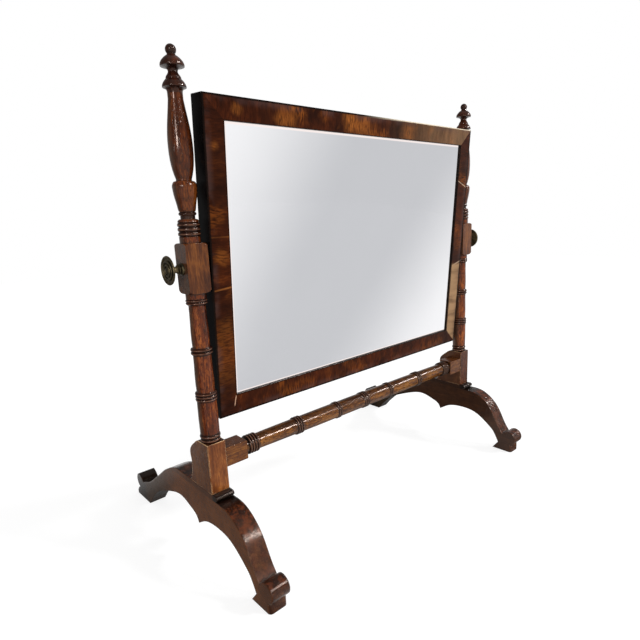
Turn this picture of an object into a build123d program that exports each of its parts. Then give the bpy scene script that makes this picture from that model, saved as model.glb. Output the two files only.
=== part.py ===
from build123d import *
from math import atan2, cos, degrees, radians, sin
import os

# Sizes are in millimetres. X runs along the stretcher, Y towards the back and Z up.
# The origin is the middle of the footprint, on the table.

# Stand
POST_SPACING = 560.0          # between the two post axes
FRONT_REACH = 136.5           # from the post axis to the front of the toe
REAR_REACH = 263.5            # from the post axis to the back of the toe
POST_Y = (FRONT_REACH - REAR_REACH) / 2
SIDE_X = POST_SPACING / 2
BOARD = 26.0                  # thickness of the trestles and of the base blocks
SEAT_Z = 110.0                # top of the trestle, where the base block stands
BLOCK_TOP = SEAT_Z + 68.0     # top of the base block, foot of the turned post
PIVOT_Z = 400.0
POST_TOP = PIVOT_Z + 191.5    # joint between post and finial

# Fits between pieces of wood and metal
GLUE_GAP = 0.05
RUNNING_GAP = 0.1
FACE_GAP = 0.3

# Trestle outline, measured from the post axis (front is negative)
TOE_R = 13.0
FRONT_TOE = (-FRONT_REACH + TOE_R, 27.0)
REAR_TOE = (243.3, 28.3)
FRONT_PAD = (-129.5, -91.0)   # outer tip and inner heel of the pad on the table
REAR_PAD = (REAR_REACH, 211.0)
PAD_Z = 13.5
PAD_CORNER_R = 5.0
CUSP = (34.0, 47.0)
NOSE_R = 3.4
NOSE_REACH = 7.6              # seat beyond the face of the base block
QUIRK_DEPTH = 1.0
SEAT_BACK = 86.0              # where the level seat runs into the rear leg

# Base block
BLOCK_FRONT = 14.0
BLOCK_BACK = 36.6             # at the widest of the rounded back
BLOCK_NECK = 35.0
BLOCK_FOOT = 44.5             # where the back spreads to the seat

# Joinery of the stand
POST_TENON_R = 7.0
POST_TENON = 15.0
RAIL_TENON = (12.0, 10.0, 16.0)   # along the rail, deep, high
RAIL_Z = SEAT_Z + 42.5
FINIAL_SPIGOT_R = 4.0
FINIAL_SPIGOT = 14.0
SCREW_R = 2.0
SCREW_HEAD_R = 3.8
SCREW_HEAD = 2.6
SCREW_Y = (0.0, 22.0)
SCREW_SEAT_Z = SEAT_Z - 38.0  # where the sunk heads bear inside the trestle
SCREW_TIP_Z = SEAT_Z + 24.0
COUNTERBORE_R = 4.4

# Pivot block and pivot hardware
PIVOT_BLOCK = 28.0
PIVOT_BLOCK_Z = (PIVOT_Z - 29.5, PIVOT_Z + 29.5)
PIVOT_R = 3.5
ESCUTCHEON_R = 7.2
ESCUTCHEON = 3.0
SLEEVE_R = 5.2
SLEEVE = 6.0
ROSETTE_R = 17.0
ROSETTE_X = SIDE_X + 28.5     # back of the rosette
ROSETTE = 5.5

# Stretcher
RAIL_SQUARE = 26.0
RAIL_SQUARE_LENGTH = 33.0
RAIL_RING_R = 13.4
RAIL_END_R = 10.5
# Groups of rings from the middle outwards: station as a share of the half length, how many,
# radius of the rail, ring height
RAIL_RINGS = [(0, 3, 12.2, 4.2), (0.2607, 2, 12.2, 4.4), (0.5983, 3, 11.8, 4.2),
              (0.9466, 4, 11.0, 4.2)]

# Mirror frame, upright in its own frame with the pivot axis at its origin
TILT = 4.2                    # degrees, top of the frame towards the front
SIDE_CLEARANCE = 3.0          # between the frame and each post
FRAME_HALF = SIDE_X - PIVOT_BLOCK / 2 - SIDE_CLEARANCE
FRAME_UP = 193.0
FRAME_DOWN = 198.5
FRAME_FRONT = 13.0
FRAME_DEPTH = 24.0
MOULDING = 27.0
VENEER = 1.2
LIP = 2.8                     # veneer and wood in front of the glass
REBATE = 6.0
GLASS = 3.5
BOARD_REBATE = 12.0
BACKBOARD = 5.0
PLATE = (3.0, 14.0, 46.0)     # pivot plate: thick, deep, high
BARREL_R = 6.0
BARREL = 9.0
SHANK_INTO_FRAME = 13.0


class Outline:
    """Draws one profile of lines, arcs and curves in the XZ plane."""

    def __init__(self, across, up):
        self.here = (across, up)
        self.edges = []

    def _point(self, p):
        return (p[0], 0, p[1])

    def line(self, across, up):
        self.edges.append(Line(self._point(self.here), self._point((across, up))))
        self.here = (across, up)
        return self

    def arc(self, middle, end):
        ends = [self._point(p) for p in (self.here, middle, end)]
        self.edges.append(ThreePointArc(*ends))
        self.here = end
        return self

    def curve(self, points, tangents=None):
        path = [self._point(p) for p in [self.here] + points]
        if tangents:
            tangents = [Vector(t[0], 0, t[1]) for t in tangents]
        self.edges.append(Spline(*path, tangents=tangents))
        self.here = points[-1]
        return self

    def bead(self, radius, height):
        """A half-round ring that stands out to radius over the given height."""
        r, z = self.here
        return self.arc((radius, z + height / 2), (r, z + height))

    def dome(self, top):
        """An arc centred on the axis, from here to the axis at the given height."""
        r, z = self.here
        centre = (top ** 2 - z ** 2 - r ** 2) / (2 * (top - z))
        middle = (90 + degrees(atan2(z - centre, r))) / 2
        return self.arc(on_circle((0, centre), top - centre, middle), (0, top))

    def face(self):
        start = self.edges[0] @ 0
        self.line(start.X, start.Z)
        return make_face(Wire(self.edges))

    def turned(self):
        """The solid of revolution about Z."""
        return revolve(self.face(), axis=Axis.Z)


def cylinder_x(radius, x0, x1):
    """A cylinder along X between two stations."""
    return Pos((x0 + x1) / 2, 0, 0) * Rot(0, 90, 0) * Cylinder(radius, abs(x1 - x0))


def cylinder_z(radius, z0, z1):
    return Pos(0, 0, (z0 + z1) / 2) * Cylinder(radius, z1 - z0)


def both_sides(name, piece):
    """Saves a piece drawn for the right-hand side, and its mirror image for the left."""
    save("right_" + name, piece)
    save("left_" + name, mirror(piece, about=Plane.YZ))


def save(name, piece):
    if isinstance(piece, (list, tuple)):
        piece = Compound(children=[p.solid() if len(p.solids()) == 1 else p for p in piece])
    export_step(piece, "parts/" + name + ".step")


def on_circle(centre, radius, angle):
    return (centre[0] + radius * cos(radians(angle)),
            centre[1] + radius * sin(radians(angle)))


def pad_corner(x, y, inward_x, inward_y):
    """What is cut off to round one upright corner of a pad."""
    r = PAD_CORNER_R
    middle = Pos(x + inward_x * r, y + inward_y * r, PAD_Z / 2)
    square = Pos(x, y, PAD_Z / 2) * Box(2 * r, 2 * r, PAD_Z)
    return square - middle * Cylinder(r, 2 * PAD_Z)


def trestle_foot():
    """One sawn board: two arched legs, scrolled toes, a level seat with a moulded front."""
    ft, rt = FRONT_TOE, REAR_TOE
    nose_front = -BLOCK_FRONT - NOSE_REACH
    nose_low = SEAT_Z - 2 * NOSE_R
    quirk = nose_low - QUIRK_DEPTH
    front_crease = on_circle(ft, TOE_R, 18)
    rear_crease = (231.5, 30.0)

    o = Outline(FRONT_PAD[1], 0)
    o.line(FRONT_PAD[0], 0)
    o.line(FRONT_PAD[0] + 1.5, PAD_Z - 0.6)
    o.line(*on_circle(ft, TOE_R, 260))
    o.arc(on_circle(ft, TOE_R, 142), front_crease)
    o.curve([(-103.4, 42), (-96.6, 54), (-82, 78), (-60, 96), (nose_front - 5.5, quirk)],
            [(0.6, 1.0), (1, -0.05)])
    o.line(nose_front + QUIRK_DEPTH, quirk)
    o.line(nose_front + QUIRK_DEPTH, nose_low)
    o.line(nose_front, nose_low)
    o.arc((nose_front - NOSE_R, SEAT_Z - NOSE_R), (nose_front, SEAT_Z))
    o.line(SEAT_BACK, SEAT_Z)
    o.curve([(112, 101.6), (132, 90.8), (152.5, 76.2), (175, 60.4), (200, 43.6), rear_crease],
            [(1, -0.12), (1, -0.5)])
    o.arc((rt[0] - 5.3, rt[1] + 9.3), on_circle(rt, TOE_R, 80))
    o.arc(on_circle(rt, TOE_R, 10), on_circle(rt, TOE_R, -68))
    o.line(REAR_PAD[0] - 9, PAD_Z - 1.5)
    o.line(REAR_PAD[0], 0)
    o.line(REAR_PAD[1], 0)
    o.line(REAR_PAD[1] - 12, PAD_Z)
    o.curve([(172, 37), (146, 50), (112, 63), (80, 69), (52, 62), CUSP],
            [(-1, 0.9), (-0.35, -1)])
    o.curve([(15, 58), (-22, 64.5), (-52, 60), (-81, 42), (FRONT_PAD[1] - 11, PAD_Z + 0.5)],
            [(-1, 0.55), (-0.5, -1)])
    profile = Rot(0, 0, 90) * o.face()
    board = Pos(SIDE_X - BOARD / 2, POST_Y, 0) * extrude(profile, BOARD, dir=(1, 0, 0))
    for side in (-1, 1):
        for y, inward in ((FRONT_PAD[0], 1), (REAR_PAD[0], -1)):
            board -= Pos(SIDE_X, POST_Y, 0) * pad_corner(side * BOARD / 2, y, -side, inward)
    for y in SCREW_Y:
        at = Pos(SIDE_X, POST_Y + y, 0)
        board -= at * cylinder_z(COUNTERBORE_R, CUSP[1] - 12, SCREW_SEAT_Z)
        board -= at * cylinder_z(SCREW_R + FACE_GAP, SCREW_SEAT_Z, SEAT_Z + 1)
    return board


def foot_screw(y):
    """A slotted wood screw driven up through the trestle, its head at the bottom."""
    low = SCREW_SEAT_Z - SCREW_HEAD
    o = Outline(0, low).line(SCREW_HEAD_R - 0.4, low).line(SCREW_HEAD_R, low + 0.4)
    o.line(SCREW_HEAD_R, SCREW_SEAT_Z).line(SCREW_R, SCREW_SEAT_Z)
    o.line(SCREW_R, SCREW_TIP_Z - 5).line(0, SCREW_TIP_Z)
    slot = Pos(0, 0, low) * Box(3 * SCREW_HEAD_R, 1.0, 2.0)
    return Pos(SIDE_X, POST_Y + y, 0) * (o.turned() - slot)


def base_block():
    """The block under the post, with its rounded back and its joints."""
    o = Outline(-BLOCK_FRONT, SEAT_Z)
    o.line(BLOCK_FOOT, SEAT_Z)
    foot, top = SEAT_Z, BLOCK_TOP
    o.curve([(BLOCK_NECK + 2.2, foot + 14), (BLOCK_NECK, foot + 32)], [(-0.8, 1), (0, 1)])
    o.curve([(BLOCK_BACK - 0.4, foot + 38), (BLOCK_BACK, foot + 43)], [(0, 1), (0, 1)])
    shoulder = [(BLOCK_BACK - 3.6, top - 16), (BLOCK_BACK - 9.4, top - 10.4), (BLOCK_BACK - 16.6, top - 5)]
    o.curve(shoulder + [(BLOCK_BACK - 25.6, top)], [(0, 1), (-1, 0.25)])
    o.line(-BLOCK_FRONT, BLOCK_TOP)
    profile = Rot(0, 0, 90) * o.face()
    block = Pos(SIDE_X - BOARD / 2, POST_Y, 0) * extrude(profile, BOARD, dir=(1, 0, 0))
    front = block.edges().filter_by(Axis.Z).group_by(Axis.Y)[0]
    block = chamfer(front, 0.8)
    socket = cylinder_z(POST_TENON_R + GLUE_GAP, BLOCK_TOP - POST_TENON - 0.5, BLOCK_TOP + 1)
    block -= Pos(SIDE_X, POST_Y, 0) * socket
    long, deep, high = [side + 2 * GLUE_GAP for side in RAIL_TENON]
    inner = SIDE_X - BOARD / 2
    block -= Pos(inner + long / 2 - 1, POST_Y, RAIL_Z) * Box(long + 2, deep, high)
    for y in SCREW_Y:
        pilot = cylinder_z(SCREW_R + GLUE_GAP, SEAT_Z - 1, SCREW_TIP_Z + 0.5)
        block -= Pos(SIDE_X, POST_Y + y, 0) * pilot
    return block


def pommelled_block():
    """The square of the post, its corners rounded off where the turning meets them."""
    low, high = PIVOT_BLOCK_Z
    half = PIVOT_BLOCK / 2
    corner = half * 1.45
    limit = Outline(0, low).line(half - 1.5, low)
    limit.arc((corner - 2.0, low + 1.6), (corner, low + 5.5))
    limit.line(corner, high - 3.5)
    limit.arc((corner - 2.2, high - 1.0), (half - 1.0, high))
    limit.line(0, high)
    square = Pos(0, 0, (low + high) / 2) * Box(PIVOT_BLOCK, PIVOT_BLOCK, high - low)
    return square & limit.turned()


def upright():
    """The turned post: ringed lower shaft, square block, rings, urn and baluster."""
    low, high = PIVOT_BLOCK_Z
    foot = BLOCK_TOP
    first_rings = foot + 0.2888 * (low - foot)
    second_rings = foot + 0.6016 * (low - foot)
    neck = low - 18.0
    o = Outline(0, foot - POST_TENON).line(POST_TENON_R, foot - POST_TENON)
    o.line(POST_TENON_R, foot).line(11.4, foot)
    o.bead(12.8, 4.6).line(11.6, foot + 5.0)
    o.bead(13.2, 5.6).line(12.3, foot + 11.2)
    o.curve([(12.5, (foot + 11.2 + first_rings) / 2), (12.3, first_rings)])
    for _ in range(3):
        o.bead(13.6, 3.9)
    o.line(11.3, first_rings + 12.4)
    o.curve([(11.6, first_rings + 18.4), (11.3, second_rings - 17.8), (11.1, second_rings)])
    for _ in range(2):
        o.bead(13.3, 4.4)
    o.line(10.6, second_rings + 9.6)
    o.curve([(10.9, second_rings + 16.2), (10.5, neck - 18.5), (10.2, neck)])
    o.arc((10.5, neck + 2.7), (11.8, neck + 4.1))
    for _ in range(2):
        o.bead(12.9, 3.2)
    o.line(12.2, low - 6.9).line(12.2, low).line(9.5, low + 0.5)
    o.line(9.5, high - 0.5).line(12.2, high)
    o.line(12.2, high + 7.3).line(11.5, high + 7.7)
    for _ in range(3):
        o.bead(13.0, 5.3)
    o.line(12.4, high + 24.1)
    o.arc((11.4, high + 26.3), (8.4, high + 27.5))
    o.line(8.4, high + 31.1)
    o.bead(10.1, 4.4)
    urn = high + 35.9
    o.line(9.2, urn)
    o.curve([(10.4, urn + 4.6), (12.4, urn + 14.6), (13.9, urn + 25.6)], [(0.7, 1), (0.08, 1)])
    o.arc((13.6, urn + 30.2), (11.9, urn + 33.2))
    o.line(8.9, urn + 34.2).line(8.9, urn + 36.2)
    belly = [(11.5, urn + 45.6), (13.65, POST_TOP - 58.5), (12.75, POST_TOP - 38.0)]
    o.curve(belly + [(10.6, POST_TOP - 22.0), (8.3, POST_TOP - 5.5)])
    o.line(8.3, POST_TOP)
    o.line(0, POST_TOP)
    post = o.turned() + pommelled_block()
    post -= cylinder_z(FINIAL_SPIGOT_R + GLUE_GAP, POST_TOP - FINIAL_SPIGOT - 0.5, POST_TOP + 1)
    half = PIVOT_BLOCK / 2
    bore = cylinder_x(PIVOT_R + RUNNING_GAP, -half - 1, half + 1)
    bore += cylinder_x(SLEEVE_R + GLUE_GAP, half - SLEEVE - 0.2, half + 1)
    post -= Pos(0, 0, PIVOT_Z) * bore
    return Pos(SIDE_X, POST_Y, 0) * post


def finial():
    """Ball over a domed disc, a flared neck and a second domed disc."""
    z = POST_TOP
    ball_r = 5.9
    ball_z = z + 44.2
    neck = (4.3, ball_z - 4.0)
    o = Outline(0, z - FINIAL_SPIGOT).line(FINIAL_SPIGOT_R, z - FINIAL_SPIGOT)
    o.line(FINIAL_SPIGOT_R, z).line(8.3, z)
    o.curve([(8.9, z + 3.6), (13.0, z + 6.2)], [(0, 1), (1, 0.25)])
    o.line(13.1, z + 7.2)
    o.curve([(11.6, z + 11.0), (8.5, z + 14.6)], [(-0.2, 1), (-1, 0.8)])
    o.line(8.3, z + 16.2)
    o.curve([(7.2, z + 18.4), (5.2, z + 22.4)], [(-0.3, 1), (-0.1, 1)])
    o.curve([(6.4, z + 24.9), (13.0, z + 27.4)], [(0.1, 1), (1, 0.35)])
    o.line(13.1, z + 28.6)
    o.curve([(10.2, z + 34.4), (5.0, z + 38.6)], [(-0.1, 1), (-1, 0.5)])
    o.line(neck[0], neck[1])
    o.dome(ball_z + ball_r)
    return Pos(SIDE_X, POST_Y, 0) * o.turned()


def stretcher():
    """The turned rail between the base blocks, with square ends and tenons."""
    end = SIDE_X - BOARD / 2
    square = end - RAIL_SQUARE_LENGTH
    o = Outline(0, -square - 4).line(RAIL_END_R, -square - 4).line(RAIL_END_R, -square + 3)
    left_rings = [(-share, count, root, height) for share, count, root, height in RAIL_RINGS[:0:-1]]
    for share, count, root, height in left_rings + RAIL_RINGS:
        r, here = o.here
        start = share * square - count * height / 2
        o.curve([((r + root) / 2 + 0.1, (here + start) / 2), (root, start)])
        for _ in range(count):
            o.bead(RAIL_RING_R, height)
    o.line(RAIL_END_R, square - 3).line(RAIL_END_R, square + 4).line(0, square + 4)
    rail = Rot(0, 90, 0) * o.turned()
    long, deep, high = RAIL_TENON
    for side in (-1, 1):
        block = Pos(side * (square + end) / 2, 0, 0) * Box(end - square, RAIL_SQUARE, RAIL_SQUARE)
        shoulder = block.faces().sort_by(Axis.X)[0 if side > 0 else -1]
        rail += chamfer(shoulder.edges(), 1.0)
        rail += Pos(side * (end + long / 2 - 1), 0, 0) * Box(long, deep, high)
    return Pos(0, POST_Y, RAIL_Z) * rail


def escutcheon():
    """Brass collar on the outer face of the pivot block, with a sleeve into the wood."""
    face = PIVOT_BLOCK / 2
    o = Outline(SLEEVE_R, face - SLEEVE)
    o.line(SLEEVE_R, face).line(ESCUTCHEON_R, face)
    o.line(ESCUTCHEON_R, face + 0.8)
    o.arc((ESCUTCHEON_R - 0.7, face + 2.3), (ESCUTCHEON_R - 2.2, face + ESCUTCHEON))
    o.line(PIVOT_R + RUNNING_GAP, face + ESCUTCHEON)
    o.line(PIVOT_R + RUNNING_GAP, face - SLEEVE)
    return Pos(SIDE_X, POST_Y, PIVOT_Z) * Rot(0, 90, 0) * o.turned()


def pivot_screw():
    """Turned spool and shank in one piece; the shank passes the post into the frame."""
    start = FRAME_HALF - SHANK_INTO_FRAME
    shoulder = SIDE_X + PIVOT_BLOCK / 2 + ESCUTCHEON + FACE_GAP
    o = Outline(0, start).line(PIVOT_R - 0.8, start).line(PIVOT_R, start + 0.8)
    o.line(PIVOT_R, shoulder)
    o.line(5.6, shoulder)
    o.bead(6.4, 2.4)
    o.curve([(3.7, shoulder + 5.6), (5.4, ROSETTE_X - 1.6)], [(-1, 0.6), (1, 0.5)])
    o.line(5.4, ROSETTE_X)
    o.line(2.6, ROSETTE_X).line(2.6, ROSETTE_X + 3.0).line(0, ROSETTE_X + 3.0)
    return Pos(0, POST_Y, PIVOT_Z) * Rot(0, 90, 0) * o.turned()


def knob_rosette():
    """Cast rosette: rolled rim, dished face, two raised rings and a button."""
    back = ROSETTE_X
    face = ROSETTE_X + ROSETTE
    o = Outline(2.65, back).line(7.5, back)
    o.curve([(12.5, back + 0.9), (ROSETTE_R - 1.0, back + 1.6)])
    o.arc((ROSETTE_R, back + 3.0), (ROSETTE_R - 1.6, back + 4.0))
    o.line(ROSETTE_R - 3.0, back + 2.7)
    o.line(11.4, back + 2.7)
    o.arc((10.5, back + 4.6), (9.2, back + 3.2))
    o.line(7.4, back + 2.9)
    o.arc((6.4, back + 4.9), (5.0, back + 3.6))
    o.line(4.2, back + 3.6)
    o.dome(face)
    o.line(0, back + 3.1).line(2.65, back + 3.1)
    return Pos(0, POST_Y, PIVOT_Z) * Rot(0, 90, 0) * o.turned()


def hung(piece):
    """Tilts a piece of the mirror about the pivot axis and lifts it into place."""
    return Pos(0, POST_Y, PIVOT_Z) * Rot(TILT, 0, 0) * piece


def prism(points, front, back):
    """A prism through the frame's depth; front and back are depths behind its face."""
    corners = [(x, 0, z) for x, z in points]
    outline = make_face(Polyline(*corners, close=True))
    return Pos(0, front - FRAME_FRONT, 0) * extrude(outline, back - front, dir=(0, 1, 0))


def opening(inset, front, back):
    """A rectangular prism whose sides lie inset inside the frame's outer edges."""
    x, up, down = FRAME_HALF - inset, FRAME_UP - inset, FRAME_DOWN - inset
    return prism([(-x, -down), (x, -down), (x, up), (-x, up)], front, back)


def mitred(side, square_corner=False):
    """Outline of one frame member, mitred at both ends."""
    x, up, down, m = FRAME_HALF, FRAME_UP, FRAME_DOWN, MOULDING
    if side == "top":
        return [(-x, up), (x, up), (x - m, up - m), (-x + m, up - m)]
    if side == "bottom":
        left = -x + m if square_corner else -x
        return [(left, -down), (x, -down), (x - m, -down + m), (-x + m, -down + m)]
    if side == "left":
        foot = [(-x + m, -down)] if square_corner else []
        return [(-x, up), (-x, -down)] + foot + [(-x + m, -down + m), (-x + m, up - m)]
    return [(x, up), (x, -down), (x - m, -down + m), (x - m, up - m)]


def plate_pocket(gap):
    """The pivot plate with its barrel, grown by a gap to cut its own pocket."""
    thick, deep, high = PLATE
    edge = FRAME_HALF
    plate = Pos(edge - thick / 2, 0, 0) * Box(thick + 2 * gap, deep + 2 * gap, high + 2 * gap)
    return plate + cylinder_x(BARREL_R + gap, edge - thick - BARREL - gap, edge - thick + 0.5)


def plate_screw_positions():
    return [PLATE[2] / 2 - 6, -PLATE[2] / 2 + 6]


def frame_member(side):
    """Carcass of one side: mitred, rebated for the glass and for the backboard."""
    member = prism(mitred(side), VENEER, FRAME_DEPTH)
    member -= opening(MOULDING - REBATE, LIP, FRAME_DEPTH + 1)
    member -= opening(MOULDING - BOARD_REBATE, FRAME_DEPTH - BACKBOARD, FRAME_DEPTH + 1)
    if side in ("left", "right"):
        cut = plate_pocket(GLUE_GAP)
        cut += cylinder_x(PIVOT_R + 0.6, FRAME_HALF - SHANK_INTO_FRAME - 3, FRAME_HALF)
        for z in plate_screw_positions():
            cut += Pos(0, 0, z) * cylinder_x(1.55, FRAME_HALF - 15.5, FRAME_HALF)
        member -= cut if side == "right" else mirror(cut, about=Plane.YZ)
    for x, z in pin_positions():
        member -= pin(x, z, GLUE_GAP)
    return member


def banding(side):
    """Face veneer of one side; the lower left corner is butted, the others mitred."""
    return prism(mitred(side, square_corner=True), 0, VENEER)


def mirror_plate():
    return opening(MOULDING - REBATE + 0.5, LIP, LIP + GLASS)


def glazing_blocks():
    """Small softwood blocks glued into the rebate behind the glass."""
    front = LIP + GLASS + 0.1
    back = FRAME_DEPTH - BACKBOARD - 0.3
    wide, length = REBATE - 1.0, 34.0
    x = FRAME_HALF - MOULDING + REBATE - wide / 2
    up = FRAME_UP - MOULDING + REBATE - wide / 2
    down = FRAME_DOWN - MOULDING + REBATE - wide / 2
    middle = (front + back) / 2 - FRAME_FRONT
    blocks = []
    for across in (-165, 0, 165):
        for z in (up, -down):
            blocks.append(Pos(across, middle, z) * Box(length, back - front, wide))
    for z in (-95, 90):
        for side in (-x, x):
            blocks.append(Pos(side, middle, z) * Box(wide, back - front, length))
    return blocks


def pin_positions():
    """Brads round the backboard, in the ledge of the frame."""
    x = FRAME_HALF - MOULDING + BOARD_REBATE - 3.5
    up = FRAME_UP - MOULDING + BOARD_REBATE - 3.5
    down = FRAME_DOWN - MOULDING + BOARD_REBATE - 3.5
    spots = [(across, z) for across in (-190, -63, 63, 190) for z in (up, -down)]
    spots += [(side, z) for side in (-x, x) for z in (-125, 0, 118)]
    return spots


def pin(x, z, gap=0.0):
    """A brad with a small domed head on the backboard."""
    o = Outline(0, -6.0).line(0.55 + gap, -4.5).line(0.55 + gap, BACKBOARD)
    o.line(1.6 + gap, BACKBOARD).dome(BACKBOARD + 0.6)
    at = FRAME_DEPTH - BACKBOARD - FRAME_FRONT
    return Pos(x, at, z) * Rot(-90, 0, 0) * o.turned()


def backboard():
    """Thin pine board, its back edges planed to a bevel."""
    inset = MOULDING - BOARD_REBATE + 0.4
    board = opening(inset, FRAME_DEPTH - BACKBOARD, FRAME_DEPTH)
    rim = board.faces().sort_by(Axis.Y)[-1].edges()
    board = chamfer(rim, 1.2)
    for x, z in pin_positions():
        board -= pin(x, z, GLUE_GAP)
    return board


def pivot_plate():
    """Brass plate let into the edge of the stile, with a threaded barrel."""
    plate = plate_pocket(0)
    plate -= cylinder_x(PIVOT_R + RUNNING_GAP, FRAME_HALF - 40, FRAME_HALF + 1)
    for z in plate_screw_positions():
        at = FRAME_HALF - PLATE[0]
        sink = Outline(0, at - 1).line(1.6, at - 1).line(1.6, at + 1.0)
        sink.line(3.2, at + PLATE[0]).line(0, at + PLATE[0])
        plate -= Pos(0, 0, z) * Rot(0, 90, 0) * sink.turned()
    return plate


def plate_screws():
    """Two small countersunk screws that hold the pivot plate."""
    at = FRAME_HALF - PLATE[0]
    tip = FRAME_HALF - 15.0
    screws = []
    for z in plate_screw_positions():
        o = Outline(0, tip).line(1.5, tip + 3).line(1.5, at + 1.05)
        o.line(3.0, at + PLATE[0] - 0.1).line(0, at + PLATE[0] - 0.1)
        slot = Pos(FRAME_HALF, 0, z) * Box(1.6, 0.8, 8.0)
        screws.append(Pos(0, 0, z) * Rot(0, 90, 0) * o.turned() - slot)
    return screws


def spacer_washer():
    """Washer between the frame and the post, carried on the pivot screw."""
    out = SIDE_X - PIVOT_BLOCK / 2 - FACE_GAP
    ring = cylinder_x(8.0, FRAME_HALF, out)
    return ring - cylinder_x(PIVOT_R + RUNNING_GAP, FRAME_HALF - 1, out + 1)


def hung_pair(name, piece):
    """Saves a right-hand piece of the mirror and its mirror image, both tilted."""
    parts = piece if isinstance(piece, list) else [piece]
    right = [hung(p) for p in parts]
    left = [hung(mirror(p, about=Plane.YZ)) for p in parts]
    save("right_" + name, right if len(parts) > 1 else right[0])
    save("left_" + name, left if len(parts) > 1 else left[0])


os.makedirs("parts", exist_ok=True)

both_sides("trestle_foot", trestle_foot())
both_sides("base_block", base_block())
both_sides("upright", upright())
both_sides("finial", finial())
both_sides("escutcheon", escutcheon())
both_sides("pivot_screw", pivot_screw())
both_sides("knob_rosette", knob_rosette())
save("stretcher", stretcher())
screws = [foot_screw(y) for y in SCREW_Y]
save("right_foot_screws", screws)
save("left_foot_screws", [mirror(s, about=Plane.YZ) for s in screws])

for edge, member_name in [("top", "frame_top_rail"), ("bottom", "frame_bottom_rail"),
                          ("left", "frame_left_stile"), ("right", "frame_right_stile")]:
    save(member_name, hung(frame_member(edge)))
    save(edge + "_banding", hung(banding(edge)))
save("mirror_glass", hung(mirror_plate()))
save("glazing_blocks", [hung(b) for b in glazing_blocks()])
save("backboard", hung(backboard()))
save("backboard_pins", [hung(pin(x, z)) for x, z in pin_positions()])
hung_pair("pivot_plate", pivot_plate())
hung_pair("plate_screws", plate_screws())
hung_pair("spacer_washer", spacer_washer())
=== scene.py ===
import bpy
from collections import namedtuple
from math import cos, radians, sin
from mathutils import Matrix, Vector

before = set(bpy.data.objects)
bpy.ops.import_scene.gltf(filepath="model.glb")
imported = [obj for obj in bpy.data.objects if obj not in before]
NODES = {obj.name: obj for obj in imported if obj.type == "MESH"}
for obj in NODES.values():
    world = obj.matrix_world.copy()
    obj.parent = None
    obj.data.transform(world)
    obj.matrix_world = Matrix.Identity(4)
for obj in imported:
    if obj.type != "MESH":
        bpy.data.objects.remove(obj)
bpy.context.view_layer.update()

# Lengths are in metres: X along the stretcher, Y to the back, Z up from the floor
POST_Y = -0.0635
PIVOT_Z = 0.400
PIVOT_BLOCK_HALF = 0.0295
SEAT_Z = 0.1008
BLOCK_FRONT = -0.0785

# The mirror frame, measured from the pivot axis along its own sides
TILT = radians(4.2)
FRAME_HALF = 0.263
FRAME_UP = 0.193
FRAME_DOWN = 0.1985
MOULDING = 0.027

# The white room: its light on the object, and how white it looks in polished faces
WORLD_LIGHT = 0.6
FLOOR_WHITE = 0.3
FLOOR_GLOW = 0.78
FLOOR_REACH = 4.0
FLOOR_DROP = 0.0003
MIRRORED_WHITE = 0.91
MIRRORED_DARK = 0.18
SUNS = (("key", (0.50, -0.67, 0.55), 1.55, 9),
        ("accent", (-0.77, -0.60, 0.20), 0.9, 10),
        ("accent_high", (-0.75, -0.56, 0.36), 0.5, 10),
        ("top", (0.74, -0.38, 0.56), 0.8, 4))

# Camera, fitted to the photograph
CAMERA_AT = (-0.56083, -0.62127, 0.45896)
CAMERA_AZIMUTH = radians(42.72)
CAMERA_ELEVATION = radians(-13.54)
CAMERA_ROLL = radians(-2.06)
SENSOR_WIDTH = 36.0
LENS = 28.226
SHIFT = (-0.0313, 0.0199)
CLIP = (0.01, 50.0)

# A tone laid over a piece from start to end along one axis, with a ragged edge
Stain = namedtuple("Stain", "axis start end tone amount")
# A group of turned rings: its middle, half its length, how many rings, the length of one
Rings = namedtuple("Rings", "centre half count height")
# A joint or crack across the veneer
Joint = namedtuple("Joint", "place slope strength width tone")
# A patch of lighter figure in the veneer
Glow = namedtuple("Glow", "x z reach strength")
# Noise along the grain: features per metre across and along it, detail, roughness
Grain = namedtuple("Grain", "across along detail rough")

X, Y, Z = 0, 1, 2
DRIFT = Grain(9.0, 5.0, 2.0, 0.5)
STREAKS = Grain(110.0, 9.0, 4.0, 0.62)
FIBRES = Grain(520.0, 60.0, 3.0, 0.65)
PORES = Grain(1000.0, 130.0, 2.0, 0.5)
SPECKS = Grain(420.0, 190.0, 3.0, 0.6)
FLECKS = Grain(360.0, 110.0, 3.0, 0.6)
# Which axis of the object comes first, second and third when the grain runs along the last one
GRAIN_ORDER = {"Z": (X, Y, Z), "X": (Y, Z, X), "Y": (X, Z, Y)}


def tone(red, green, blue):
    """A colour written as 0 to 255 on the screen, in linear light."""
    def linear(value):
        value /= 255
        return value / 12.92 if value <= 0.04045 else ((value + 0.055) / 1.055) ** 2.4
    return (linear(red), linear(green), linear(blue), 1.0)


# Wood: dark, middle and light of the figure
BLOCK = (tone(84, 40, 13), tone(118, 64, 26), tone(160, 98, 44))
RAIL = (tone(46, 20, 7), tone(100, 57, 19), tone(152, 98, 38))
POST = (tone(38, 11, 5), tone(94, 38, 12), tone(158, 84, 30))
PIVOT = (tone(50, 20, 7), tone(84, 42, 14), tone(130, 76, 30))
FOOT = (tone(36, 16, 8), tone(62, 32, 17), tone(96, 56, 30))
# Darker than the left block: painted shade.
RIGHT_BLOCK_SHADED = (tone(38, 14, 6), tone(70, 32, 14), tone(104, 56, 28))
FINIAL = (tone(24, 8, 5), tone(46, 20, 11), tone(80, 38, 20))
PINE = (tone(96, 66, 38), tone(140, 102, 62), tone(176, 136, 90))
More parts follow.
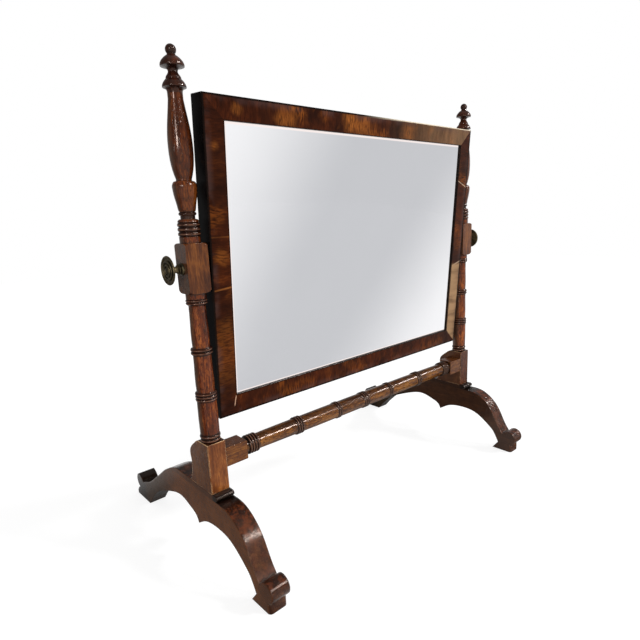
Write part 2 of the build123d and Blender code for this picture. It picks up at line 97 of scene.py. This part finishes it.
# Wood: the two tones of faces that look sideways or up. Where they are darker than the wood, as on
# the blocks, the pivot blocks, the right foot and all the tops, they are painted shade
BLOCK_SHADED_SIDE = (tone(62, 37, 22), tone(82, 52, 31))
FOOT_SIDE = (tone(82, 46, 20), tone(104, 61, 30))
RIGHT_FOOT_SHADED_SIDE = (tone(38, 20, 9), tone(50, 28, 13))
POST_SHADED_SIDE = (tone(52, 42, 34), tone(66, 52, 40))
BLOCK_SHADED_TOP = (tone(16, 8, 6), tone(34, 18, 12))
RAIL_SHADED_TOP = (tone(40, 20, 9), tone(74, 42, 17))
LEG_SHADED_TOP = (tone(30, 10, 5), tone(92, 42, 18))
# Wood: stains; dirt and painted shade in grooves and rings; near black on the step as painted
# shade; painted highlight on ring crests and on worn block edges
NEAR_BLACK = tone(12, 8, 7)
GREENISH = tone(34, 26, 12)
DEEP_BROWN = tone(48, 24, 10)
SQUARE_END = tone(92, 46, 20)
GROOVE_DIRT_AND_SHADE = tone(10, 5, 3)
RING_DIRT_AND_SHADE = tone(26, 11, 7)
CREST_HIGHLIGHT_TONE = tone(134, 92, 70)
BLOCK_EDGE_WEAR_AND_HIGHLIGHT = tone(226, 184, 136)
# Veneer, with a painted reflection, a painted highlight on the top rim, painted shade along the
# sight edge and a bloom that is partly painted sheen
VENEER_FIGURE = ((0.36, tone(26, 8, 4)), (0.47, tone(52, 20, 8)),
                 (0.55, tone(70, 30, 12)), (0.66, tone(104, 52, 20)))
GLOOM_TONE = tone(28, 10, 6)
FLAME_TONE = tone(168, 92, 34)
GLOW_TONE = tone(166, 96, 40)
SCRATCH_TONE = tone(214, 170, 140)
SHEEN_REFLECTION_TONE = tone(162, 128, 94)
SHADE_TONE = tone(24, 9, 6)
BLOOM_AND_SHEEN_TONE = tone(84, 66, 64)
RIM_TONE = tone(9, 6, 6)
RIM_HIGHLIGHT_TONE = tone(232, 216, 190)
SIGHT_SHADE_TONE = tone(14, 7, 5)
JOINT_TONE = tone(160, 98, 48)
CRACK_TONE = tone(222, 190, 160)
# Glass, with a painted reflection and a painted highlight at its rim; carcass and metal
SILVER_PALE = tone(246, 246, 248)
SILVER_GREY = tone(198, 199, 203)
SILVER_RIM_HIGHLIGHT = tone(252, 240, 236)
CARCASS_FIGURE = ((0.3, tone(3, 2, 2)), (0.6, tone(9, 6, 6)), (0.75, tone(26, 17, 13)))
CARCASS_SCUFF = tone(96, 62, 38)
BRASS_FIGURE = ((0.3, tone(42, 38, 29)), (0.55, tone(86, 75, 53)), (0.75, tone(126, 108, 76)))
BRASS_RUBBED = tone(230, 206, 160)
BRASS_DIRT = tone(20, 17, 11)
IRON_FIGURE = ((0.35, tone(38, 34, 32)), (0.6, tone(66, 58, 52)), (0.75, tone(104, 66, 42)))

RAIL_RINGS = (Rings(0.0, 0.0070, 3, 0.0042),
              Rings(-0.061, 0.0052, 2, 0.0044), Rings(0.061, 0.0052, 2, 0.0044),
              Rings(-0.140, 0.0070, 3, 0.0042), Rings(0.140, 0.0070, 3, 0.0042),
              Rings(-0.2215, 0.0092, 4, 0.0042), Rings(0.2215, 0.0092, 4, 0.0042))
POST_RINGS = (Rings(0.1835, 0.0062, 2, 0.0052), Rings(0.2395, 0.0066, 3, 0.0039),
              Rings(0.2982, 0.0052, 2, 0.0044), Rings(0.3598, 0.0040, 2, 0.0032),
              Rings(0.4451, 0.0088, 3, 0.0053), Rings(0.4610, 0.0048, 1, 0.0044))


class Nodes:
    """Fills one node tree. Every input can be a socket or a plain value."""

    def __init__(self, tree, output):
        self.tree = tree
        tree.nodes.clear()
        self.output = self.add(output)

    def plug(self, node, key, value):
        if isinstance(value, bpy.types.NodeSocket):
            self.tree.links.new(value, node.inputs[key])
        else:
            node.inputs[key].default_value = value

    def add(self, kind, inputs=None, settings=None):
        node = self.tree.nodes.new("ShaderNode" + kind)
        for key, value in (settings or {}).items():
            setattr(node, key, value)
        for key, value in (inputs or {}).items():
            self.plug(node, key, value)
        return node

    def finish(self, shader):
        self.tree.links.new(shader, self.output.inputs["Surface"])

    def math(self, operation, a, b=0.0, clamp=False):
        node = self.add("Math", {0: a, 1: b}, {"operation": operation, "use_clamp": clamp})
        return node.outputs[0]

    def plus(self, a, b, clamp=False):
        return self.math("ADD", a, b, clamp)

    def minus(self, a, b, clamp=False):
        return self.math("SUBTRACT", a, b, clamp)

    def times(self, a, b):
        return self.math("MULTIPLY", a, b)

    def size(self, a):
        return self.math("ABSOLUTE", a)

    def swing(self, noise, amount):
        """Turns a noise of 0 to 1 into a shift to either side of nothing."""
        return self.times(self.minus(noise, 0.5), amount)

    def vector_math(self, operation, a, b=None, scale=None):
        node = self.add("VectorMath", {0: a}, {"operation": operation})
        if b is not None:
            self.plug(node, 1, b)
        if scale is not None:
            self.plug(node, "Scale", scale)
        return node

    def mix(self, factor, a, b):
        return self.add("Mix", {0: factor, 6: a, 7: b}, {"data_type": "RGBA"}).outputs[2]

    def mix_value(self, factor, a, b):
        return self.add("Mix", {0: factor, 2: a, 3: b}, {"data_type": "FLOAT"}).outputs[0]

    def fade(self, value, start, end, low=0.0, high=1.0):
        """Runs smoothly from low to high while value goes from start to end."""
        node = self.add("MapRange", {0: value, 1: start, 2: end, 3: low, 4: high},
                        {"interpolation_type": "SMOOTHSTEP"})
        return node.outputs[0]

    def noise(self, vector, scale, detail=3.0, rough=0.5):
        node = self.add("TexNoise", {"Vector": vector, "Scale": scale, "Detail": detail,
                                     "Roughness": rough})
        return node.outputs[0]

    def grain(self, vector, kind):
        """Noise drawn out along the grain, which is the vector's third part."""
        stretch = (kind.across, kind.across, kind.along)
        drawn = self.vector_math("MULTIPLY", vector, stretch).outputs[0]
        return self.noise(drawn, 1.0, kind.detail, kind.rough)

    def ramp(self, value, stops):
        node = self.add("ValToRGB", {0: value})
        band = node.color_ramp
        while len(band.elements) < len(stops):
            band.elements.new(0.5)
        for element, (position, colour) in zip(band.elements, stops):
            element.position = position
            element.color = colour
        return node.outputs[0]

    def coordinates(self):
        return self.add("TexCoord").outputs["Object"]

    def split(self, vector):
        return self.add("SeparateXYZ", {0: vector}).outputs

    def join(self, x, y, z):
        return self.add("CombineXYZ", {0: x, 1: y, 2: z}).outputs[0]

    def facing(self):
        """The surface normal in the frame of the object, split into X, Y and Z."""
        return self.split(self.add("TexCoord").outputs["Normal"])

    def crevice(self, reach):
        """Falls from 1 in the open to 0 deep in grooves and inner corners."""
        node = self.add("AmbientOcclusion", {"Distance": reach}, {"samples": 6, "only_local": True})
        return node.outputs["AO"]

    def softened(self, radius):
        """The normal as if every edge were rounded off a little."""
        return self.add("Bevel", {"Radius": radius}, {"samples": 6}).outputs[0]

    def arris(self, soft_normal):
        """Rises from 0 on faces towards 1 on outer and inner edges."""
        true = self.add("NewGeometry").outputs["True Normal"]
        dot = self.vector_math("DOT_PRODUCT", soft_normal, true).outputs["Value"]
        return self.minus(1.0, dot, clamp=True)

    def bump(self, height, strength, distance, normal=None):
        node = self.add("Bump", {"Strength": strength, "Distance": distance, "Height": height})
        if normal is not None:
            self.plug(node, "Normal", normal)
        return node.outputs[0]


class Shader(Nodes):
    """The node tree of one new material."""

    def __init__(self, name):
        self.material = bpy.data.materials.new(name)
        self.material.use_nodes = True
        super().__init__(self.material.node_tree, "OutputMaterial")

    def finish(self, colour, roughness, normal, **others):
        """Closes the material with one surface shader; others are its further inputs."""
        inputs = {"Base Color": colour, "Roughness": roughness}
        if normal is not None:
            inputs["Normal"] = normal
        inputs.update({key.replace("_", " "): value for key, value in others.items()})
        super().finish(self.add("BsdfPrincipled", inputs).outputs[0])
        return self.material


def figure(s, value, spread, tones):
    dark, mid, light = tones
    return s.ramp(value, [(0.5 - spread, dark), (0.5, mid), (0.5 + spread, light)])


def ringed(s, colour, along, group, rubbed):
    """Darkens a group of turned rings with dirt and painted shade, and paints a highlight on their
    crests.
    """
    offset = s.minus(along, group.centre)
    inside = s.fade(s.size(offset), group.half - 0.0008, group.half + 0.0008, 1.0, 0.0)
    # The ring group darkened: dirt and painted shade.
    colour = s.mix(s.times(inside, 0.85), colour, RING_DIRT_AND_SHADE)
    phase = s.plus(s.math("DIVIDE", offset, group.height), 10 + group.count / 2)
    from_crest = s.size(s.minus(s.math("FRACT", phase), 0.5))
    # Pale lines on the crests: painted highlight.
    crest_highlight = s.times(s.times(s.fade(from_crest, 0.04, 0.17, 1.0, 0.0), inside), rubbed)
    return s.mix(crest_highlight, colour, CREST_HIGHLIGHT_TONE)


def wood(name, grain, dark, mid, light, seed=0.0, side=None, top=None, rough=0.22, wear=0.6,
         spread=0.16, soft=0.0006, dirt_and_shade_reach=0.008, stains=(), cap=None, rings=(), ring_axis=Z,
         worn_and_lit_edge_tone=None, speckle=0.0, panel=None, dull=0.0):
    """Polished wood: streaked, with fine pores, dirt and painted shade in the grooves, and worn
    edges.

    side and top are pairs of tones for faces that look along X or up; where they are darker than
    the wood, they are painted shade. cap is a height, a place along Y and a tone for what lies
    above the one
    and in front of the other: painted shade on the step before a block. panel is a middle, half a
    height and three tones for the front and back faces of a square block. A bright tone for worn
    edges paints a highlight on them as well.
    """
    s = Shader(name)
    where = s.coordinates()
    parts = s.split(s.vector_math("ADD", where, (seed, seed * 1.7, seed * 0.6)).outputs[0])
    along = s.join(*(parts[axis] for axis in GRAIN_ORDER[grain]))
    drift = s.swing(s.grain(along, DRIFT), 0.03)
    bent = s.vector_math("ADD", along, s.join(drift, drift, 0.0)).outputs[0]
    streaks, fibres, pores = (s.grain(bent, kind) for kind in (STREAKS, FIBRES, PORES))
    clouds = s.noise(along, 24.0, 3.0, 0.55)
    value = s.plus(s.times(streaks, 0.5), s.times(fibres, 0.5))
    value = s.plus(value, s.swing(clouds, 0.5))
    colour = figure(s, value, spread, (dark, mid, light))
    pore_mask = s.fade(pores, 0.56, 0.68, 0.0, 0.75)
    colour = s.mix(pore_mask, colour, dark)
    if speckle:
        colour = s.mix(s.fade(s.grain(bent, SPECKS), 0.51, 0.63, 0.0, speckle), colour, dark)
        colour = s.mix(s.fade(s.grain(bent, FLECKS), 0.55, 0.68, 0.0, 0.7 * speckle), colour, light)

    facing = s.facing()
    sideways = s.size(facing[X])
    # Faces that look along X take the side tones; where these are darker than the wood, that is
    # painted shade.
    if side:
        flank = s.fade(sideways, 0.80, 0.99, 0.0, 0.75)
        uneven = s.mix(s.fade(s.noise(where, 34.0, 4.0, 0.6), 0.35, 0.65), *side)
        colour = s.mix(flank, colour, uneven)
    # Faces that look up in darker tones: painted shade.
    if top:
        upper = s.fade(facing[Z], 0.15, 0.85, 0.0, 0.8)
        blotch = s.fade(s.noise(where, 120.0, 4.0, 0.65), 0.44, 0.62)
        colour = s.mix(upper, colour, s.mix(blotch, *top))
    place = s.split(where)
    for stain in stains:
        ragged = s.plus(place[stain.axis], s.swing(clouds, 0.006))
        covered = s.fade(ragged, stain.start, stain.end, 0.0, stain.amount)
        colour = s.mix(covered, colour, stain.tone)
    # Near black on the step before the block, fainter behind it: painted shade.
    if cap:
        height, front, cap_tone = cap
        on_cap = s.times(s.fade(place[Z], height, height + 0.0016, 0.0, 0.92),
                         s.fade(place[Y], front, front + 0.003, 1.0, 0.35))
        colour = s.mix(on_cap, colour, cap_tone)
    if panel:
        centre, half, tones = panel
        from_centre = s.size(s.minus(place[Z], centre))
        on_panel = s.times(s.fade(from_centre, half, half + 0.0010, 1.0, 0.0),
                           s.fade(sideways, 0.5, 0.9, 1.0, 0.0))
        colour = s.mix(on_panel, colour, figure(s, value, spread, tones))
    # Patches for the painted highlight on the ring crests.
    rubbed = s.fade(s.noise(where, 190.0, 3.0), 0.36, 0.56, 0.15, 0.6)
    for group in rings:
        colour = ringed(s, colour, place[ring_axis], group, rubbed)

    soft_normal = s.softened(soft)
    patchy = s.fade(s.noise(where, 60.0, 3.0), 0.40, 0.62)
    # Worn edges; on the blocks a bright tone and a large amount also paint a highlight on them.
    worn = s.times(s.fade(s.arris(soft_normal), 0.02, 0.2), s.times(patchy, wear))
    colour = s.mix(worn, colour, worn_and_lit_edge_tone or light)
    # Darkening in grooves and inner corners: dirt and painted shade.
    colour = s.mix(s.fade(s.crevice(dirt_and_shade_reach), 0.45, 0.95, 0.95, 0.0), colour, GROOVE_DIRT_AND_SHADE)
    roughness = s.plus(rough - 0.05, s.times(clouds, 0.1))
    if dull:
        mottle = s.fade(s.noise(where, 170.0, 4.0, 0.65), 0.46, 0.60, 0.0, dull)
        roughness = s.plus(roughness, mottle)
    relief = s.plus(s.times(fibres, 0.5), s.times(clouds, 2.5))
    relief = s.minus(relief, s.times(pore_mask, 0.8))
    return s.finish(colour, roughness, s.bump(relief, 0.4, 0.0004, soft_normal),
                    Specular_IOR_Level=0.34, Specular_Tint=(1.0, 0.80, 0.70, 1.0))


def frame_coordinates(s):
    """Coordinates of the mirror frame itself: upright, with the pivot axis at its origin."""
    node = s.add("Mapping", {"Vector": s.coordinates(), "Location": (0, POST_Y, PIVOT_Z),
                             "Rotation": (TILT, 0, 0)}, {"vector_type": "TEXTURE"})
    return s.split(node.outputs[0])


def edge_distance(s, x, z):
    """How far a point of the frame's face lies inside the frame's outer edges."""
    from_side = s.minus(FRAME_HALF, s.size(x))
    from_top = s.minus(FRAME_UP, z)
    from_bottom = s.plus(FRAME_DOWN, z)
    return s.math("MINIMUM", from_side, s.math("MINIMUM", from_top, from_bottom))


def veneer(name, upright, seed=0.0, joints=(), flames=0.45, shade=None, pale=None, glows=(),
           scratch=None, bright_rim=None):
    """Dark cross-grained face veneer with flashes of lighter figure, blackened outer edges, a bloom
    that is partly painted sheen, and painted shade along the sight edge.

    shade and pale are a start, an end and an amount along the member; pale lays a painted
    reflection.
    bright_rim is a start and an end of a painted highlight along the rim. scratch is a place along
    X with its lower and upper end.
    """
    s = Shader(name)
    x, _, z = frame_coordinates(s)
    run, across = (z, x) if upright else (x, z)
    seeded = s.plus(run, seed)
    warp = s.noise(s.join(seeded, across, 0.0), 30.0, 2.0)
    cell = s.join(s.plus(seeded, s.times(warp, 0.012)), s.times(across, 0.16), 0.0)
    bands = s.noise(cell, 75.0, 4.0, 0.6)
    fibres = s.noise(cell, 520.0, 3.0, 0.6)
    clouds = s.noise(s.join(seeded, across, 0.3), 26.0, 3.0, 0.6)
    value = s.plus(s.plus(s.times(bands, 0.4), s.times(fibres, 0.3)), s.times(clouds, 0.3))
    colour = s.ramp(value, VENEER_FIGURE)
    patch = s.noise(s.join(seeded, across, 1.3), 17.0, 3.0, 0.55)
    flame = s.times(s.fade(patch, 0.52, 0.70), s.fade(fibres, 0.34, 0.66))
    gloom = s.fade(s.noise(s.join(seeded, across, 4.1), 13.0, 3.0, 0.6), 0.42, 0.60, 0.0, 0.6)
    colour = s.mix(gloom, colour, GLOOM_TONE)
    colour = s.mix(s.times(flame, flames), colour, FLAME_TONE)

    middle = FRAME_HALF - MOULDING / 2
    for joint in joints:
        line_at = s.plus(joint.place, s.times(s.minus(s.size(across), middle), joint.slope))
        line = s.fade(s.size(s.minus(run, line_at)), 0.25 * joint.width, joint.width,
                      joint.strength, 0.0)
        line = s.times(line, s.fade(clouds, 0.35, 0.6, 0.4, 1.0))
        colour = s.mix(line, colour, joint.tone)
    for glow in glows:
        here = s.join(x, z, s.times(warp, 0.02))
        away = s.vector_math("DISTANCE", here, (glow.x, glow.z, 0.01)).outputs["Value"]
        away = s.plus(away, s.swing(clouds, 2.2 * glow.reach))
        lit = s.times(s.fade(away, 0.1 * glow.reach, glow.reach, glow.strength, 0.0),
                      s.fade(fibres, 0.36, 0.60, 0.25, 1.0))
        colour = s.mix(lit, colour, GLOW_TONE)
    if scratch:
        line_x, low, high = scratch
        lean = s.times(s.minus(z, high), 0.2)
        off = s.size(s.minus(s.minus(x, line_x), lean))
        span = s.times(s.fade(z, low, low + 0.004), s.fade(z, high - 0.002, high, 1.0, 0.0))
        colour = s.mix(s.times(s.fade(off, 0.0003, 0.0010, 0.75, 0.0), span), colour, SCRATCH_TONE)
    # A pale band along the member: painted reflection.
    if pale:
        start, end, amount = pale
        sheen = s.times(s.fade(run, start, end, 0.0, amount), s.fade(bands, 0.3, 0.6, 0.5, 1.0))
        colour = s.mix(sheen, colour, SHEEN_REFLECTION_TONE)
    if shade:
        start, end, amount = shade
        colour = s.mix(s.fade(run, start, end, 0.0, amount), colour, SHADE_TONE)

    inside = edge_distance(s, x, z)
    ragged = s.plus(inside, s.swing(bands, 0.0016))
    # A greyish bloom near the outer edges: dust on the polish and a painted sheen.
    bloom = s.times(s.fade(ragged, 0.002, 0.012, 0.35, 0.0), s.fade(clouds, 0.42, 0.58))
    colour = s.mix(bloom, colour, BLOOM_AND_SHEEN_TONE)
    rim = s.fade(ragged, 0.0014, 0.0030, 0.96, 0.0)
    rim_tone = RIM_TONE
    # Along part of the top, a pale line in place of the dark rim: painted highlight.
    if bright_rim:
        lit_rim = s.fade(run, *bright_rim)
        rim_tone = s.mix(lit_rim, rim_tone, RIM_HIGHLIGHT_TONE)
        rim = s.times(rim, s.minus(1.0, s.times(lit_rim, s.fade(inside, 0.0010, 0.0016))))
    colour = s.mix(rim, colour, rim_tone)
    # A near-black band along the sight edge: painted shade.
    sight = s.fade(s.minus(MOULDING, ragged), 0.0004, 0.0016, 0.85, 0.0)
    colour = s.mix(sight, colour, SIGHT_SHADE_TONE)
    relief = s.plus(fibres, s.times(clouds, 3.0))
    return s.finish(colour, s.plus(0.2, s.times(clouds, 0.18)), s.bump(relief, 0.3, 0.0003),
                    Specular_IOR_Level=0.07, Specular_Tint=(1.0, 0.65, 0.45, 1.0))


def ebonised(name):
    """Blackened carcass wood with scuffs along its edges."""
    s = Shader(name)
    where = s.coordinates()
    grit = s.noise(where, 60.0, 4.0, 0.6)
    fine = s.noise(where, 480.0, 2.0)
    colour = s.ramp(grit, CARCASS_FIGURE)
    worn = s.times(s.fade(s.arris(s.softened(0.0006)), 0.05, 0.25), s.fade(grit, 0.5, 0.66))
    colour = s.mix(s.times(worn, 0.4), colour, CARCASS_SCUFF)
    return s.finish(colour, s.plus(0.3, s.times(grit, 0.2)), s.bump(fine, 0.3, 0.0003),
                    Specular_IOR_Level=0.05)


def silvered_glass(name):
    """Old silvered plate, grey with a painted reflection that is lighter towards two corners."""
    s = Shader(name)
    x, _, z = frame_coordinates(s)
    # The grey, lighter towards two corners, is a painted reflection.
    to_left = s.fade(s.plus(x, s.times(z, -0.6)), -0.36, -0.10)
    to_right = s.fade(s.plus(x, s.times(z, -0.9)), 0.04, 0.38)
    haze = s.noise(s.coordinates(), 14.0, 3.0)
    painted_reflection = s.plus(s.minus(to_left, to_right, clamp=True), s.swing(haze, 0.06), clamp=True)
    colour = s.mix(painted_reflection, SILVER_PALE, SILVER_GREY)
    inside = s.minus(edge_distance(s, x, z), MOULDING)
    # A near-white line just inside the sight edge: painted highlight.
    colour = s.mix(s.fade(inside, 0.0026, 0.0034, 0.9, 0.0), colour, SILVER_RIM_HIGHLIGHT)
    return s.finish(colour, s.fade(haze, 0.3, 0.7, 0.04, 0.09), None, Metallic=1.0)


def patinated_brass(name):
    """Brass gone olive brown, rubbed bright on its high edges."""
    s = Shader(name)
    where = s.coordinates()
    spots = s.noise(where, 160.0, 4.0, 0.6)
    cloud = s.noise(where, 45.0, 2.0)
    colour = s.ramp(spots, BRASS_FIGURE)
    rubbed = s.times(s.fade(s.arris(s.softened(0.0005)), 0.04, 0.3), s.fade(cloud, 0.35, 0.6))
    colour = s.mix(s.times(rubbed, 0.35), colour, BRASS_RUBBED)
    colour = s.mix(s.fade(s.crevice(0.004), 0.3, 0.85, 0.8, 0.0), colour, BRASS_DIRT)
    return s.finish(colour, s.plus(0.3, s.times(spots, 0.25)), s.bump(spots, 0.35, 0.0002),
                    Metallic=0.85)


def dark_iron(name):
    """Iron of the screws and brads, with a little rust."""
    s = Shader(name)
    rust = s.noise(s.coordinates(), 300.0, 4.0, 0.65)
    return s.finish(s.ramp(rust, IRON_FIGURE), 0.5, s.bump(rust, 0.4, 0.0002), Metallic=0.7)


def dress(material, *names):
    """Puts one material on every slot of the named pieces."""
    for name in names:
        slots = NODES[name].data.materials
        for index in range(len(slots)):
            slots[index] = material
        if not slots:
            slots.append(material)


def dress_stand():
    # The right foot's sides and the right block are darker copies of the left ones: painted shade.
    sides = (("left", FOOT_SIDE, BLOCK, 3.2), ("right", RIGHT_FOOT_SHADED_SIDE, RIGHT_BLOCK_SHADED, 0.9))
    # Darker and greenish towards the back of the foot, near black at the back toe, a little darker
    # at the front toe.
    foot_stains = (Stain(Y, 0.02, 0.11, GREENISH, 0.78), Stain(Y, 0.145, 0.170, NEAR_BLACK, 0.88),
                   Stain(Y, -0.158, -0.176, NEAR_BLACK, 0.2))
    for number, (end, foot_side, block, block_edge_wear_and_highlight) in enumerate(sides):
        seed = 1.3 + 2.1 * number
        # Darker tones on faces that look up and near black on the step before the block: painted
        # shade.
        dress(wood(end + "_trestle_wood", "Y", *FOOT, seed=seed, side=foot_side, top=LEG_SHADED_TOP,
                   soft=0.0030, rough=0.14, wear=0.3, dirt_and_shade_reach=0.006, dull=0.10,
                   cap=(SEAT_Z, BLOCK_FRONT, NEAR_BLACK), stains=foot_stains),
              end + "_trestle_foot")
        # Worn block edges carry a painted highlight; the darker sides and top are painted shade.
        dress(wood(end + "_block_wood", "Z", *block, seed=seed + 0.3, side=BLOCK_SHADED_SIDE,
                   top=BLOCK_SHADED_TOP, soft=0.0016, wear=block_edge_wear_and_highlight, worn_and_lit_edge_tone=BLOCK_EDGE_WEAR_AND_HIGHLIGHT,
                   speckle=0.35), end + "_base_block")
        # Faces that look along X greyer and darker: painted shade.
        dress(wood(end + "_post_wood", "Z", *POST, seed=seed + 0.7, rough=0.15,
                   rings=POST_RINGS, speckle=0.6, side=POST_SHADED_SIDE,
                   stains=(Stain(Z, 0.428, 0.450, DEEP_BROWN, 0.45),),
                   panel=(PIVOT_Z, PIVOT_BLOCK_HALF, PIVOT)), end + "_upright")
        dress(wood(end + "_finial_wood", "Z", *FINIAL, seed=seed + 0.9, rough=0.14),
              end + "_finial")
    rail_stains = (Stain(X, -0.2318, -0.2345, SQUARE_END, 0.38),
                   Stain(X, 0.2318, 0.2345, SQUARE_END, 0.38))
    # The stretcher's top darker: painted shade; its ring crests get a painted highlight.
    dress(wood("rail_wood", "X", *RAIL, seed=5.2, top=RAIL_SHADED_TOP, rough=0.15, rings=RAIL_RINGS,
               ring_axis=X, stains=rail_stains, speckle=0.8), "stretcher")


def dress_mirror():
    dress(veneer("left_veneer", True, 0.4,
                 (Joint(0.0355, 0.0, 0.35, 0.0012, JOINT_TONE),
                  Joint(-0.0278, -0.1, 0.6, 0.0016, JOINT_TONE)),
                 shade=(-0.02, 0.16, 0.4), flames=0.3,
                 glows=(Glow(-0.2510, 0.137, 0.010, 0.7), Glow(-0.2480, 0.010, 0.014, 0.4),
                        Glow(-0.2500, -0.115, 0.060, 0.22)),
                 scratch=(-0.2372, -0.188, -0.1715)), "left_banding")
    # The pale lower part of the right stile: painted reflection.
    dress(veneer("right_veneer", True, 2.9,
                 (Joint(-0.0426, 0.3, 0.7, 0.0016, CRACK_TONE),
                  Joint(0.1010, -0.42, 0.85, 0.0011, CRACK_TONE)),
                 pale=(-0.040, -0.047, 0.95)), "right_banding")
    # The pale band on the right of the top rail is a painted reflection; the bright rim is a
    # painted highlight.
    dress(veneer("top_veneer", False, 4.4, flames=0.6, pale=(0.02, 0.22, 0.42),
                 bright_rim=(-0.02, 0.10),
                 glows=(Glow(-0.147, 0.178, 0.024, 0.6), Glow(-0.218, 0.180, 0.010, 0.35),
                        Glow(-0.012, 0.177, 0.040, 0.8), Glow(0.095, 0.176, 0.024, 0.5))),
          "top_banding")
    dress(veneer("bottom_veneer", False, 7.7, flames=0.36), "bottom_banding")
    dress(ebonised("carcass_black"), "frame_top_rail", "frame_bottom_rail", "frame_left_stile",
          "frame_right_stile")
    dress(silvered_glass("mirror_silver"), "mirror_glass")


def dress_fittings():
    brass = patinated_brass("brass_patina")
    for end in ("left", "right"):
        dress(brass, end + "_pivot_screw", end + "_knob_rosette", end + "_escutcheon",
              end + "_spacer_washer", end + "_pivot_plate")
    dress(dark_iron("iron_dark"), "left_foot_screws", "right_foot_screws", "left_plate_screws",
          "right_plate_screws", "backboard_pins")
    dress(wood("pine_board", "X", *PINE, seed=9.0, rough=0.6, wear=0.3),
          "backboard", "glazing_blocks")


def seen_by_eye_or_mirrored(s):
    """Two masks: straight camera rays, and rays that come by way of metal, polish or glass."""
    path = s.add("LightPath").outputs
    return path["Is Camera Ray"], s.math("MAXIMUM", path["Is Glossy Ray"],
                                         path["Is Transmission Ray"])


def mirrored_room(s, x, y, z):
    """White low towards the front right, and greyer behind and higher up."""
    ahead = s.plus(s.times(x, 0.6), s.times(y, -0.8))
    low = s.fade(z, 0.06, 0.26, 1.0, 0.45)
    return s.times(s.fade(ahead, -0.42, -0.10, 0.48, 1.0), low)


def room():
    world = bpy.data.worlds.new("studio")
    bpy.context.scene.world = world
    world.use_nodes = True
    s = Nodes(world.node_tree, "OutputWorld")
    x, y, z = s.split(s.add("TexCoord").outputs["Generated"])
    eye, mirrored = seen_by_eye_or_mirrored(s)
    strength = s.mix_value(mirrored, WORLD_LIGHT, mirrored_room(s, x, y, z))
    strength = s.mix_value(eye, strength, 1.0)
    back = s.add("Background", {"Color": (1, 1, 1, 1), "Strength": strength})
    s.finish(back.outputs[0])


def mirrored_floor(s, x, y):
    """White far in front, under and behind the mirror, and dark beside the object."""
    far_front = s.fade(y, -0.33, -0.25, MIRRORED_WHITE, MIRRORED_DARK)
    under_mirror = s.times(s.fade(s.size(x), 0.25, 0.31, MIRRORED_WHITE, 0.0),
                           s.fade(y, -0.10, -0.04, 1.0, 0.0))
    behind = s.times(s.fade(x, -0.55, -0.25, 0.0, MIRRORED_WHITE), s.fade(y, 0.12, 0.30))
    return s.math("MAXIMUM", far_front, s.math("MAXIMUM", under_mirror, behind))


def floor():
    """A plain floor that glows for the camera and in mirrored rays, and keeps its shadow."""
    mesh = bpy.data.meshes.new("studio_floor")
    r = FLOOR_REACH
    mesh.from_pydata([(-r, -r, 0), (r, -r, 0), (r, r, 0), (-r, r, 0)], [], [(0, 1, 2, 3)])
    plane = bpy.data.objects.new("studio_floor", mesh)
    bpy.context.scene.collection.objects.link(plane)
    plane.location.z = -FLOOR_DROP
    material = bpy.data.materials.new("floor_white")
    material.use_nodes = True
    s = Nodes(material.node_tree, "OutputMaterial")
    x, y, _ = s.split(s.coordinates())
    eye, mirrored = seen_by_eye_or_mirrored(s)
    white = s.mix_value(mirrored, 1.0, mirrored_floor(s, x, y))
    tint = s.join(white, white, white)
    paint = s.vector_math("SCALE", tint, scale=FLOOR_WHITE).outputs[0]
    diffuse = s.add("BsdfDiffuse", {"Color": paint}).outputs[0]
    glow = s.times(s.times(s.math("MAXIMUM", eye, mirrored), white), FLOOR_GLOW)
    glow = s.add("Emission", {"Color": (1, 1, 1, 1), "Strength": glow}).outputs[0]
    s.finish(s.add("AddShader", {0: diffuse, 1: glow}).outputs[0])
    mesh.materials.append(material)


def sun(name, towards, strength, spread):
    """A distant soft lamp; towards points from the object to the lamp."""
    data = bpy.data.lights.new(name, "SUN")
    data.energy = strength
    data.angle = radians(spread)
    light = bpy.data.objects.new(name, data)
    light.rotation_euler = Vector(towards).to_track_quat("Z", "Y").to_euler()
    bpy.context.scene.collection.objects.link(light)


def camera():
    data = bpy.data.cameras.new("photo_camera")
    data.sensor_width = SENSOR_WIDTH
    data.lens = LENS
    data.shift_x, data.shift_y = SHIFT
    data.clip_start, data.clip_end = CLIP
    a, e, r = CAMERA_AZIMUTH, CAMERA_ELEVATION, CAMERA_ROLL
    forward = Vector((sin(a) * cos(e), cos(a) * cos(e), sin(e)))
    level = forward.cross(Vector((0, 0, 1))).normalized()
    rise = level.cross(forward)
    right = level * cos(r) + rise * sin(r)
    up = rise * cos(r) - level * sin(r)
    turn = Matrix((right, up, -forward)).transposed()
    eye = bpy.data.objects.new("photo_camera", data)
    eye.matrix_world = Matrix.Translation(CAMERA_AT) @ turn.to_4x4()
    bpy.context.scene.collection.objects.link(eye)
    bpy.context.scene.camera = eye


dress_stand()
dress_mirror()
dress_fittings()
room()
floor()
for lamp in SUNS:
    sun(*lamp)
camera()
bpy.context.scene.view_settings.view_transform = "Standard"
